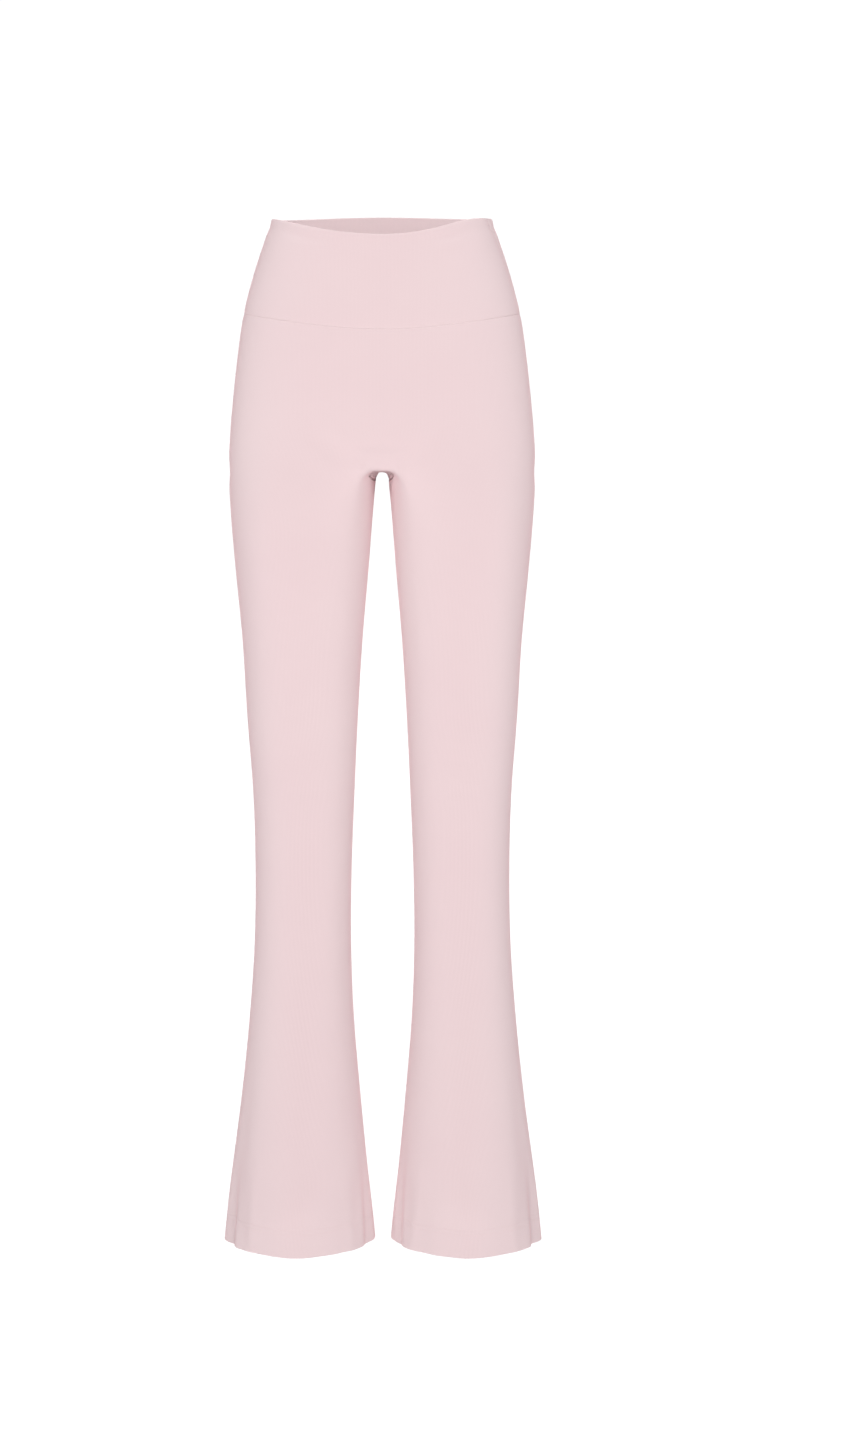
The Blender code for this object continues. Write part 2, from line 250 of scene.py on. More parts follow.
# The front of the crotch, seen from the side, turns under in a sharper corner than
# the smooth surface: its middle, the way along the surface, and sizes in mm.
CORNER_MIDDLE = (-82.5, -253.8)
CORNER_ALONG = (0.68, -0.73)
CORNER_LIFT = 12.0
CORNER_REACH = 21.0
CORNER_ROUND = 2.5
# It is this wide from the middle, and fades out over this much more.
CORNER_HALF = 9.0
CORNER_FADE = 24.0

# Rings laid inside a piece's edge, in mm from it, so that edges can round and roll.
EDGE_RINGS = (0.3, 0.9, 2.0)
# Kinds of a piece's edge, kept on its border while it is sewn.
SEAM_KIND, RIM_KIND, HEM_KIND = 1, 2, 3
# An edge segment is searched through this many points, and the end of it.
SEGMENT_PARTS = 8
# How far in from the cloth a seam's edge lies, by the distance from the seam, in mm.
# Level seams are pulled flatter than upright ones.
SEAM_REACH = 1.3
SEAM_DEPTH_LEVEL = 0.4
SEAM_DEPTH_UPRIGHT = 1.0
SEAM_SOFT_REACH = 6.0
SEAM_SOFT_DEPTH = 0.4
SEAM_GAP = 0.06 * MM
# The rim's fold stands out as a soft roll, with a shallow dip under it, in mm.
RIM_ROLL = (2.5, 2.6, 0.45)
RIM_DIP = (9.5, 4.5, -0.6)
# The hem's turned-up cloth, in mm above the edge, and its two rows of stitches.
HEM_ROWS = (24.0, 29.5)
HEM_ROW_HALF = 1.0
HEM_TURN = 32.0
HEM_CUTS = (22.6, 24.0, 25.4, 28.1, 29.5, 30.9, 33.0)
HEM_EXTRA = 0.45 * MM
HEM_EXTRA_OUTSIDE = 0.2
HEM_PULL = 0.18
# The middle of a leg at the hem, in mm, from which its stitches are laid.
HEM_MIDDLE = (89.0, 12.0)
HEM_LINE_STEPS = 240
CLOTH_LAYERS = 8
RAY_START = 0.05 * MM
# A seam allowance pressed to the inside, as a share of the outside's ditch.
INNER_SHARE_OF_DITCH = 0.5

# The light that comes from the studio's walls, by the angle from the front, in degrees:
# how bright it is, and how much of a blush it has from pale pink paper.
STUDIO_WALLS = (
    (0, 3.00, 0.10), (180, 1.40, 0.0), (10, 0.60, 0.05), (35, 1.30, 0.0), (60, 0.42, 0.16),
    (85, 0.70, 0.26), (110, 1.90, 0.26), (140, 1.40, 0.10), (160, 1.20, 0.0),
)
BLUE_SHARE_OF_BLUSH = 0.85
# How closely the floor's light keeps to straight up.
BOUNCE_NARROWNESS = 6.0
# The floor and the room behind it are just past white, so that no edge shows.
FLOOR_WHITE = 1.1
PAPER_WHITE = 1.05
FLOOR_HALF = 14.0
# Soft lights: name, before (-1) or behind (1) the pants, width and share of the power.
LAMPS = (("key_light", -1, 9.0, 1.0), ("back_light", 1, 3.0, 0.7))
LAMP_TALL = 1.4
LAMP_AWAY = 5.5
LAMP_HEIGHT = 1.0
LAMP_DROP = 1.5

SENSOR = 36.0

# The knit's finer looks. Patches of dye are about 110 mm wide, and the fuzz is 1.1 mm.
DYE_PATCHES = 9.0
FUZZ = 900.0
COURSE_SHARE = 0.35
FUZZ_SHARE = 0.25
# Painted shade between the wales and a faint painted highlight on their tops: the knit's colour is
# scaled from the first value in the hollows to the second on the tops.
WALE_PAINTED_SHADE = (0.955, 1.01)
WALE_RELIEF = 0.25 * MM
# The thread's strands are about 0.6 mm long.
STRANDS = 1600.0


def table_value(table, column, height):
    """Reads one column of a table of sections at a height, along a smooth curve."""
    heights = [row[0] * MM for row in table]
    values = [row[column] for row in table]
    last = len(table) - 1
    if height >= heights[0]:
        return values[0]
    if height <= heights[last]:
        return values[last]
    slopes = []
    for index in range(len(table)):
        low = max(index - 1, 0)
        high = min(index + 1, last)
        slopes.append((values[high] - values[low]) / (heights[high] - heights[low]))
    index = next(i for i in range(last) if heights[i + 1] <= height)
    span = heights[index + 1] - heights[index]
    t = (height - heights[index]) / span
    return (
        (2 * t**3 - 3 * t**2 + 1) * values[index]
        + (t**3 - 2 * t**2 + t) * span * slopes[index]
        + (3 * t**2 - 2 * t**3) * values[index + 1]
        + (t**3 - t**2) * span * slopes[index + 1]
    )


def rounded(angle, power):
    """Cosine and sine of an angle, squared off by a superellipse's power."""
    cosine = math.cos(angle)
    sine = math.sin(angle)
    return (
        math.copysign(abs(cosine) ** (2 / power), cosine),
        math.copysign(abs(sine) ** (2 / power), sine),
    )


def place_on(curve, share):
    """The point at a share of a plane curve's length, for an even spread of columns."""
    points = [curve(step / SECTION_STEPS) for step in range(SECTION_STEPS + 1)]
    lengths = [0.0]
    for start, end in zip(points, points[1:]):
        lengths.append(lengths[-1] + math.dist(start, end))
    wanted = share * lengths[-1]
    for index in range(SECTION_STEPS):
        if lengths[index + 1] >= wanted:
            part = (wanted - lengths[index]) / (lengths[index + 1] - lengths[index])
            start, end = points[index], points[index + 1]
            return tuple(a + (b - a) * part for a, b in zip(start, end))
    return points[-1]


def body_point(share, height):
    """A point of the left half of the body, from the centre front to the centre back."""
    half, front, back, power = (table_value(BODY_SECTIONS, i, height) for i in (1, 2, 3, 4))

    def curve(t):
        along, across = rounded(math.pi * t, power)
        return (half * across, -front * along if along > 0 else -back * along)

    x, y = place_on(curve, share)
    return Vector((x * MM, y * MM, height))


def leg_point(share, height):
    """A point of the left leg, from the inseam round the front and back again."""
    inner, outer, front, back, power = (
        table_value(LEG_SECTIONS, i, height) for i in (1, 2, 3, 4, 5)
    )

    def curve(t):
        across, along = rounded(2 * math.pi * t, power)
        x = (inner + outer) / 2 - (outer - inner) / 2 * across
        y = (back - front) / 2 - (back + front) / 2 * along
        return (x, y)

    x, y = place_on(curve, share)
    return Vector((x * MM, y * MM, height))


def by_column(column, front, side, back):
    """A value that runs smoothly from the centre front past the side to the back."""
    if column <= OUTSEAM:
        t = column / OUTSEAM
        start, end = front, side
    else:
        t = (column - OUTSEAM) / (CENTRE_BACK - OUTSEAM)
        start, end = side, back
    ease = (1 - math.cos(math.pi * t)) / 2
    return start + (end - start) * ease


def body_row(row, lean):
    """One row of the body above the fork, as 25 points."""
    points = []
    for column in range(CENTRE_BACK + 1):
        rim = by_column(column, RIM_FRONT, RIM_SIDE, RIM_BACK)
        seam = by_column(column, BAND_SEAM_FRONT, BAND_SEAM_SIDE, BAND_SEAM_BACK)
        split = by_column(column, SPLIT_FRONT, SPLIT_SIDE, SPLIT_BACK)
        place = column
        if row <= BAND_ROWS:
            t = row / BAND_ROWS
            height = rim + (seam - rim) * t
            place -= lean * (1 - t) * math.sin(math.pi * column / CENTRE_BACK) ** 2
        else:
            height = seam + (split - seam) * (row - BAND_ROWS) / SEAT_ROWS
        points.append(body_point(place / CENTRE_BACK, height))
    return points


def crotch_point(share):
    """A point of the crotch line, from the centre back (0) to the centre front (1)."""
    start = body_point(1.0, SPLIT_BACK)
    end = body_point(0.0, SPLIT_FRONT)
    low_y = CROTCH_LOW_Y * MM
    low_z = CROTCH_LOW_Z * MM

    def curve(t):
        if t < 0.5:
            along, up = rounded(math.pi * (0.5 - t), CROTCH_BACK_POWER)
            top = start
        else:
            along, up = rounded(math.pi * (t - 0.5), CROTCH_FRONT_POWER)
            top = end
        return (low_y + (top.y - low_y) * up, top.z + (low_z - top.z) * along)

    y, z = place_on(curve, share)
    return Vector((0.0, y, z))


def ring_share(column, height):
    """Where a column meets the leg's ring at a height."""
    t = (height - THIGH_TOP) / (INNER_SHARE_LOW_HEIGHT - THIGH_TOP)
    t = min(max(t, 0.0), 1.0)
    inner = INNER_SHARE_TOP + (INNER_SHARE_LOW - INNER_SHARE_TOP) * t
    if column <= OUTSEAM:
        return inner + (0.5 - inner) * column / OUTSEAM
    if column <= CENTRE_BACK:
        return 0.5 + (0.5 - inner) * (column - OUTSEAM) / (CENTRE_BACK - OUTSEAM)
    if column <= INSEAM:
        return 1 - inner * (INSEAM - column) / (INSEAM - CENTRE_BACK)
    return inner * (column - INSEAM) / (COLUMNS - INSEAM)


def leg_ring(height):
    """A level ring of the leg, as 36 points from column 0."""
    return [leg_point(ring_share(column, height), height) for column in range(COLUMNS)]


def leg_heights():
    """The heights of the leg's rings below the thigh's first."""
    steps = [row / LEG_ROWS for row in range(1, LEG_ROWS + 1)]
    return [THIGH_TOP + (HEM - THIGH_TOP) * t * (1 + LEG_CROWDING * (1 - t)) for t in steps]


def fold_depth(share, height):
    """How far the flare's folds move the cloth outwards at a place."""
    depth = 0.0
    for top_place, top, low_place, low, width, fold in FLARE_FOLDS:
        t = (top * MM - height) / ((top - low) * MM)
        if t <= 0:
            continue
        away = (share - top_place - (low_place - top_place) * t) * RING_LENGTH / width
        growth = math.sin(math.pi / 2 * min(t, 1.0)) ** FOLD_GROWTH
        depth += fold * MM * math.exp(-(away**2)) * growth
    return depth


def folded_ring(height):
    """A ring of the leg with the flare's folds, moved along the ring's own normals."""
    ring = leg_ring(height)
    moved = []
    for column, point in enumerate(ring):
        along = ring[(column + 1) % COLUMNS] - ring[column - 1]
        outward = along.cross(Vector((0, 0, 1))).normalized()
        moved.append(point + outward * fold_depth(ring_share(column, height), height))
    return moved


def fork_rows(split):
    """The split row, and the rows from it down to the thigh's first level ring."""
    span = THIGH_TOP - SPLIT_SIDE
    low = leg_ring(THIGH_TOP)
    lower = leg_ring(THIGH_TOP - SLOPE_STEP)
    starts, leaves, arrives = [], [], []
    for column in range(COLUMNS):
        arrives.append((lower[column] - low[column]) * (-span / SLOPE_STEP))
        if column <= CENTRE_BACK:
            start = split[column]
            share = column / CENTRE_BACK
            above = body_point(share, start.z + SLOPE_STEP)
            leave = (start - above) * ((start.z - THIGH_TOP) / SLOPE_STEP)
        else:
            share = (column - CENTRE_BACK) / (COLUMNS - CENTRE_BACK)
            start = crotch_point(share)
            edge = abs(2 * share - 1) ** REACH_POWER
            reach = REACH_MIDDLE + (REACH_ENDS - REACH_MIDDLE) * edge
            leave = Vector((reach, 0, FRONT_LIFT * edge if column > INSEAM else 0))
        if column in (0, CENTRE_BACK):
            leave = leave.lerp(Vector((REACH_ENDS, 0, 0)), CORNER_TURN)
        starts.append(start)
        leaves.append(leave)
    rows = []
    for t in FORK_STEPS:
        rows.append([
            starts[i] * (2 * t**3 - 3 * t**2 + 1)
            + leaves[i] * (t**3 - 2 * t**2 + t)
            + low[i] * (3 * t**2 - 2 * t**3)
            + arrives[i] * (t**3 - t**2)
            for i in range(COLUMNS)
        ])
    return starts, rows


def half_rows(lean):
    """All rows of the left half: body rows of 25 points, then rings of 36."""
    rows = [body_row(row, lean) for row in range(SPLIT_ROW)]
    starts, fork = fork_rows(body_row(SPLIT_ROW, lean))
    rows.append(starts)
    rows.extend(fork)
    rows.extend(folded_ring(height) for height in leg_heights())
    return rows


def piece_of(row, column, side):
    """The cut piece that a cell of the surface belongs to."""
    front = column < OUTSEAM or column >= INSEAM
    if row < BAND_ROWS:
        return "waistband_front" if front else "waistband_back"
    if SPLIT_ROW <= row < SPLIT_ROW + GUSSET_ROWS and GUSSET_BACK <= column < GUSSET_FRONT:
        return "gusset"
    if front:
        return "front"
    return "back_" + side


def weave_places(rows):
    """Where each point lies on the flat cloth: metres across the wales and along them."""
    count = len(rows)
    along = [[0.0] * COLUMNS for _ in range(count)]
    for column in range(COLUMNS):
        first = 0 if column <= CENTRE_BACK else SPLIT_ROW
        for row in range(THIGH_ROW - 1, first - 1, -1):
            step = (rows[row + 1][column] - rows[row][column]).length
            along[row][column] = along[row + 1][column] + step
        for row in range(THIGH_ROW + 1, count):
            step = (rows[row][column] - rows[row - 1][column]).length
            along[row][column] = along[row - 1][column] - step

    def across_from(row, start, columns, value):
        """Places along one row, measured from a column whose place is known."""
        places = {start: value}
        for before, column in zip(columns, columns[1:]):
            step = (rows[row][column % COLUMNS] - rows[row][before % COLUMNS]).length
            places[column] = places[before] + math.copysign(step, column - before)
        return places

    front, back = [], []
    front_grain, back_grain = None, None
    for row in range(count):
        if row <= SPLIT_ROW:
            places = across_from(row, 0, list(range(OUTSEAM + 1)), 0.0)
            backs = across_from(row, CENTRE_BACK, list(range(CENTRE_BACK, OUTSEAM - 1, -1)), 0.0)
            front_grain, back_grain = places[FRONT_GRAIN], backs[BACK_GRAIN]
        else:
            outer = list(range(FRONT_GRAIN, OUTSEAM + 1))
            places = across_from(row, FRONT_GRAIN, outer, front_grain)
            inner = list(range(FRONT_GRAIN, INSEAM - COLUMNS - 1, -1))
            places.update(across_from(row, FRONT_GRAIN, inner, front_grain))
            backs = across_from(row, BACK_GRAIN, list(range(BACK_GRAIN, INSEAM + 1)), back_grain)
            outer = list(range(BACK_GRAIN, OUTSEAM - 1, -1))
            backs.update(across_from(row, BACK_GRAIN, outer, back_grain))
        if row == SPLIT_ROW:
            inner = list(range(0, INSEAM - COLUMNS - 1, -1))
            places.update(across_from(row, 0, inner, 0.0))
            backs.update(across_from(row, CENTRE_BACK, list(range(CENTRE_BACK, INSEAM + 1)), 0.0))
        front.append(places)
        back.append(backs)
    return along, front, back


def draw_cells():
    """The whole outer surface as a coarse cage, with each cell's piece and place on the cloth."""
    surface = bmesh.new()
    names = surface.faces.layers.int.new("piece")
    weave = surface.loops.layers.uv.new(WEAVE)
    centre_line = {}
    for side, sign, lean in (("left", 1, LEAN_LEFT), ("right", -1, LEAN_RIGHT)):
        rows = half_rows(lean)
        along, front, back = weave_places(rows)
        grid = []
        for row, points in enumerate(rows):
            line = []
            for column, point in enumerate(points):
                on_centre = row <= SPLIT_ROW and (column == 0 or column >= CENTRE_BACK)
                if on_centre and (row, column) in centre_line:
                    line.append(centre_line[(row, column)])
                    continue
                x = 0.0 if on_centre else sign * point.x
                vert = surface.verts.new((x, point.y, point.z))
                if on_centre:
                    centre_line[(row, column)] = vert
                line.append(vert)
            grid.append(line)
        for row in range(len(grid) - 1):
            cells = CENTRE_BACK if row < SPLIT_ROW else COLUMNS
            for column in range(cells):
                after = (column + 1) % COLUMNS
                places = [(row, column), (row + 1, column),
                          (row + 1, column + 1), (row, column + 1)]
                corners = [grid[row][column], grid[row + 1][column],
                           grid[row + 1][after], grid[row][after]]
                if sign < 0:
                    corners.reverse()
                    places.reverse()
                face = surface.faces.new(corners)
                name = piece_of(row, column, side)
                face[names] = PIECES.index(name)
                is_front = column < OUTSEAM or column >= INSEAM
                for loop, (at_row, at_column) in zip(face.loops, places):
                    if is_front:
                        key = at_column - COLUMNS if column >= INSEAM else at_column
                        across = front[at_row][key]
                    else:
                        across = back[at_row][at_column]
                    loop[weave].uv = (sign * across, along[at_row][at_column % COLUMNS])
        for line in grid[SPLIT_ROW - 1:THIGH_ROW + 1]:
            for column, vert in enumerate(line):
                vert.tag = column <= FORK_FRONT or column >= FORK_BACK
    fork = [vert for vert in surface.verts if vert.tag]
    for _ in range(FORK_SMOOTHING):
        bmesh.ops.smooth_vert(
            surface, verts=fork, factor=0.5, use_axis_x=True, use_axis_y=True, use_axis_z=True
        )
    return surface


def rows_of(items, name):
    """A mesh's points or normals as an array of rows."""
    values = np.empty(len(items) * 3)
    items.foreach_get(name, values)
    return values.reshape(-1, 3)


def smooth_copy(cage):
    """The subdivided mesh of a cage mesh."""
    thing = bpy.data.objects.new("cloth_cage", cage)
    bpy.context.scene.collection.objects.link(thing)
    finer = thing.modifiers.new("finer", "SUBSURF")
    finer.levels = SMOOTH_LEVELS
    finer.render_levels = SMOOTH_LEVELS
    finer.uv_smooth = "NONE"
    finer.boundary_smooth = "PRESERVE_CORNERS"
    graph = bpy.context.evaluated_depsgraph_get()
    result = bpy.data.meshes.new_from_object(thing.evaluated_get(graph))
    bpy.data.objects.remove(thing)
    return result


def crease_lift(points, normals):
    """How far the listed creases move each point along its normal."""
    lift = np.zeros(len(points))
    for faces, x1, z1, x2, z2, bow, width, depth, roll in CREASES:
        across = points[:, 1 if faces[0] else 0] / MM
        height = points[:, 2] / MM
        run = math.hypot(x2 - x1, z2 - z1)
        ux, uz = (x2 - x1) / run, (z2 - z1) / run
        t = ((across - x1) * ux + (height - z1) * uz) / run
        inside = (t > 0) & (t < 1)
        t = np.clip(t, 0, 1)
        away = (height - z1) * ux - (across - x1) * uz - bow * 4 * t * (1 - t)
        shape = np.exp(-((away / width) ** 2))
        shape -= roll * np.exp(-(((np.abs(away) - 2.0 * width) / width) ** 2))
        if z2 * MM < HEM:
            taper = np.sin(math.pi / 2 * t) ** CREASE_RUN_OUT
        else:
            taper = np.sin(math.pi * t) ** CREASE_TAPER
        facing = np.clip(normals @ np.array(faces, dtype=float) * CREASE_FACING, 0, 1)
        lift += np.where(inside, depth * MM * shape * taper * facing, 0.0)
    return lift


def square_crotch(points):
    """Moves the front of the crotch out to its corner, as rows of offsets."""
    across = np.abs(points[:, 0]) / MM
    y = points[:, 1] / MM - CORNER_MIDDLE[0]
    z = points[:, 2] / MM - CORNER_MIDDLE[1]
    ey, ez = CORNER_ALONG
    along = y * ey + z * ez
    off = y * ez - z * ey
    rise = 1 - np.sqrt(along**2 + CORNER_ROUND**2) / CORNER_REACH
    t = np.clip((across - CORNER_HALF) / CORNER_FADE, 0, 1)
    fade = (1 + np.cos(math.pi * t)) / 2
    lift = CORNER_LIFT * MM * np.clip(rise, 0, 1) * fade * (np.abs(off) < CORNER_REACH)
    return lift[:, None] * np.array([0.0, ez, -ey])


def cut_piece(surface, name):
    """One piece's outer skin as a bmesh, with rings of points inside its edges."""
    mesh = bmesh.new()
    mesh.from_mesh(surface)
    names = mesh.faces.layers.int["piece"]
    kinds = mesh.edges.layers.int.new("kind")
    outward = mesh.verts.layers.float_vector.new("outward")
    mesh.normal_update()
    for vert in mesh.verts:
        vert[outward] = vert.normal
    number = PIECES.index(name)
    for edge in mesh.edges:
        own = [face[names] == number for face in edge.link_faces]
        if len(own) == 1:
            middle = (edge.verts[0].co.z + edge.verts[1].co.z) / 2
            edge[kinds] = RIM_KIND if middle > BAND_SEAM_FRONT else HEM_KIND
        elif own[0] != own[1]:
            edge[kinds] = SEAM_KIND
    others = [face for face in mesh.faces if face[names] != number]
    bmesh.ops.delete(mesh, geom=others, context="FACES")
    if name == "front" or name.startswith("back"):
        for cut in HEM_CUTS:
            geometry = mesh.verts[:] + mesh.edges[:] + mesh.faces[:]
            bmesh.ops.bisect_plane(
                mesh, geom=geometry, dist=1e-6, plane_co=(0, 0, HEM + cut * MM), plane_no=(0, 0, 1)
            )
    seams, rims, hems = [], [], []
    for edge in mesh.edges:
        if edge.is_boundary:
            ends = (edge.verts[0].co.copy(), edge.verts[1].co.copy())
            (seams, rims, hems)[edge[kinds] - SEAM_KIND].append(ends)
    region = list(mesh.faces)
    before = 0.0
    for ring in EDGE_RINGS:
        made = bmesh.ops.inset_region(
            mesh, faces=region, use_boundary=True, use_even_offset=True,
            use_interpolate=True, thickness=(ring - before) * MM,
        )
        outer_ring = set(made["faces"])
        region = [face for face in region if face not in outer_ring]
        before = ring
    return mesh, outward, seams, rims, hems


def nearest_tree(segments):
    """A search tree over points spread along edge segments, or None without any."""
    if not segments:
        return None
    tree = kdtree.KDTree(len(segments) * (SEGMENT_PARTS + 1))
    for number, (start, end) in enumerate(segments):
        for part in range(SEGMENT_PARTS + 1):
            spot = start.lerp(end, part / SEGMENT_PARTS)
            tree.insert(spot, number * (SEGMENT_PARTS + 1) + part)
    tree.balance()
    return tree


def edge_distance(tree, point):
    """How far a point is from the nearest of a kind of edge, or a metre without any."""
    return tree.find(point)[2] if tree else 1.0


def steepness(tree, segments, point):
    """How upright the nearest edge segment stands, from 0 to 1."""
    start, end = segments[tree.find(point)[1] // (SEGMENT_PARTS + 1)]
    return abs(end.z - start.z) / max((end - start).length, MM * MM)


def bump(distance, centre, width, height):
    """A soft bump at a distance from an edge, all in mm."""
    return height * math.exp(-(((distance / MM - centre) / width) ** 2))


def seam_depth(distance, upright):
    """How far the cloth rolls in beside a seam, in metres."""
    d = distance / MM
    deep = SEAM_DEPTH_LEVEL + (SEAM_DEPTH_UPRIGHT - SEAM_DEPTH_LEVEL) * upright
    sharp = deep * max(0.0, 1 - d / SEAM_REACH) ** 2
    return (sharp + SEAM_SOFT_DEPTH * math.exp(-((d / SEAM_SOFT_REACH) ** 2) * 2)) * MM


def wall_faces(mesh, wall, seams, rims, hems):
    """How far each point's outer and inner face lie from the drawn cloth, in metres."""
    seam_tree, rim_tree, hem_tree = nearest_tree(seams), nearest_tree(rims), nearest_tree(hems)
    lifts = {}
    for vert in mesh.verts:
        at_rim = edge_distance(rim_tree, vert.co)
        at_hem = edge_distance(hem_tree, vert.co)
        outer, thickness, inner = 0.0, wall, 0.0
        if hems:
            above = (vert.co.z - HEM) / MM
            if above < HEM_TURN:
                thickness = wall + HEM_EXTRA
                outer += HEM_EXTRA * HEM_EXTRA_OUTSIDE
            for row in HEM_ROWS:
                if abs(above - row) < HEM_ROW_HALF:
                    outer -= HEM_PULL * MM
        if rims:
            roll = bump(at_rim, *RIM_ROLL) + bump(at_rim, *RIM_DIP)
            outer += roll * MM
            inner += roll * MM
        at_seam = edge_distance(seam_tree, vert.co)
        ditch = seam_depth(at_seam, steepness(seam_tree, seams, vert.co))
        outer -= ditch
        inner -= ditch * INNER_SHARE_OF_DITCH
        radius = thickness / 2
        edge = min(at_rim, at_hem)
        turn = 0.0
        if edge < radius:
            turn = radius - math.sqrt(max(0.0, radius**2 - (radius - edge) ** 2))
        lifts[vert] = (outer - turn, inner - thickness + turn)
    return lifts


def seam_pulls(seam_edges):
    """The way into the cloth, at each point of its sewn edges."""
    pulls = {}
    for edge in seam_edges:
        face = edge.link_faces[0]
        along = (edge.verts[1].co - edge.verts[0].co).normalized()
        side = face.normal.cross(along)
        if side.dot(face.calc_center_median() - edge.verts[0].co) < 0:
            side.negate()
        for vert in edge.verts:
            pulls.setdefault(vert, side)
    return pulls


def close_edge(mesh, edge, twins):
    """Joins the outer and the inner face along one sewn edge."""
    weave = mesh.loops.layers.uv[WEAVE]
    loop = edge.link_loops[0]
    start, end = loop.vert, loop.link_loop_next.vert
    places = loop[weave].uv.copy(), loop.link_loop_next[weave].uv.copy()
    face = mesh.faces.new([end, start, twins[start], twins[end]])
    for item, uv in zip(face.loops, (places[1], places[0], places[0], places[1])):
        item[weave].uv = uv
    face.smooth = True


def sew_piece(surface, name, wall):
    """Turns one piece's skin into a closed wall with folded and rolled edges."""
    mesh, outward, seams, rims, hems = cut_piece(surface, name)
    lifts = wall_faces(mesh, wall, seams, rims, hems)
    kinds = mesh.edges.layers.int["kind"]
    border = [edge for edge in mesh.edges if edge.is_boundary]
    seam_edges = [edge for edge in border if edge[kinds] == SEAM_KIND]
    folded = {vert for edge in border if edge[kinds] != SEAM_KIND for vert in edge.verts}
    pulls = seam_pulls(seam_edges)
    copied = bmesh.ops.duplicate(mesh, geom=mesh.verts[:] + mesh.edges[:] + mesh.faces[:])
    twins = copied["vert_map"]
    inside = [item for item in copied["geom"] if isinstance(item, bmesh.types.BMFace)]
    bmesh.ops.reverse_faces(mesh, faces=inside)
    for edge in seam_edges:
        close_edge(mesh, edge, twins)
    for vert, (outer, inner) in lifts.items():
        normal = Vector(vert[outward])
        point = vert.co.copy()
        if vert in pulls:
            point += pulls[vert] * SEAM_GAP / 2
        vert.co = point + normal * outer
        twins[vert].co = point + normal * inner
    bmesh.ops.weld_verts(mesh, targetmap={twins[vert]: vert for vert in folded})
    mesh.normal_update()
    return mesh


def finish_piece(name, mesh, material):
    """Makes the mesh an object that stands for its CAD node and rides with it."""
    data = bpy.data.meshes.new(name + "_cloth")
    mesh.to_mesh(data)
    mesh.free()
    data.materials.clear()
    data.materials.append(material)
    data.shade_smooth()
    for unused in ("piece", "outward", "kind"):
        if unused in data.attributes:
            data.attributes.remove(data.attributes[unused])
    thing = bpy.data.objects.new(name + "_cloth", data)
    bpy.context.scene.collection.objects.link(thing)
    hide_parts(name)
    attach(thing, "root")
    return thing


def linear(hex_colour):
    """An sRGB hex colour as linear red, green and blue."""
    values = []
    for start in (1, 3, 5):
        value = int(hex_colour[start:start + 2], 16) / 255
        values.append(value / 12.92 if value <= 0.04045 else ((value + 0.055) / 1.055) ** 2.4)
    return tuple(values)


def add_node(tree, kind, inputs=(), **settings):
    """Adds a node with its settings, and fills its inputs with values or links."""
    node = tree.nodes.new(kind)
    for key, value in settings.items():
        setattr(node, key, value)
    for key, value in dict(inputs).items():
        if isinstance(value, bpy.types.NodeSocket):
            tree.links.new(value, node.inputs[key])
        else:
            node.inputs[key].default_value = value
    return node


def shader_of(name):
    """A new material, its node tree and its main shader."""
    material = bpy.data.materials.new(name)
    material.use_nodes = True
    return material, material.node_tree, material.node_tree.nodes["Principled BSDF"]


